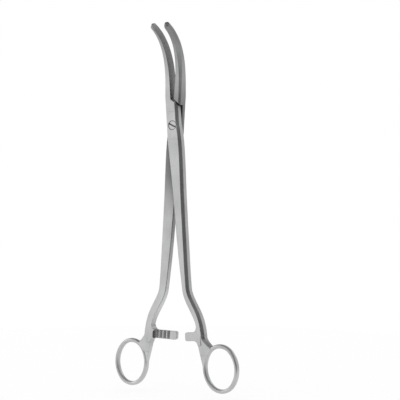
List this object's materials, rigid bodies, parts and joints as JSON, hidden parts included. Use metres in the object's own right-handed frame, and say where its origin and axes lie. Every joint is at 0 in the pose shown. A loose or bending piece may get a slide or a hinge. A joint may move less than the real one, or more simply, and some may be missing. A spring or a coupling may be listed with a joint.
{
  "type": "hysterectomy forceps",
  "caption": "Long curved hysterectomy forceps: lapped halves on a slotted pivot screw, forward-curved serrated jaws, long slim shanks, ratchet bars and oval finger rings.",
  "frame": {"origin": "on the pivot axis, on the flat back of the joint", "axes": "+Z along the instrument to the jaw tips, +X to the right seen from the front, +Y to the back; the jaws curve to the front"},
  "size_m": [0.0956, 0.024, 0.2378],
  "materials": {
    "half_steel": "satin ground stainless steel",
    "screw_steel": "turned stainless steel, ground flush"
  },
  "bodies": {
    "rear": {"rear_half": "half_steel", "pivot_screw": "screw_steel"},
    "front": {"front_half": "half_steel"}
  },
  "joints": [
    {"name": "pivot", "type": "hinge", "parent": "rear", "child": "front", "pos_m": [0, -0.004, 0], "axis": [0, -1, 0], "range_deg": [-7.8, 30]}
  ]
}
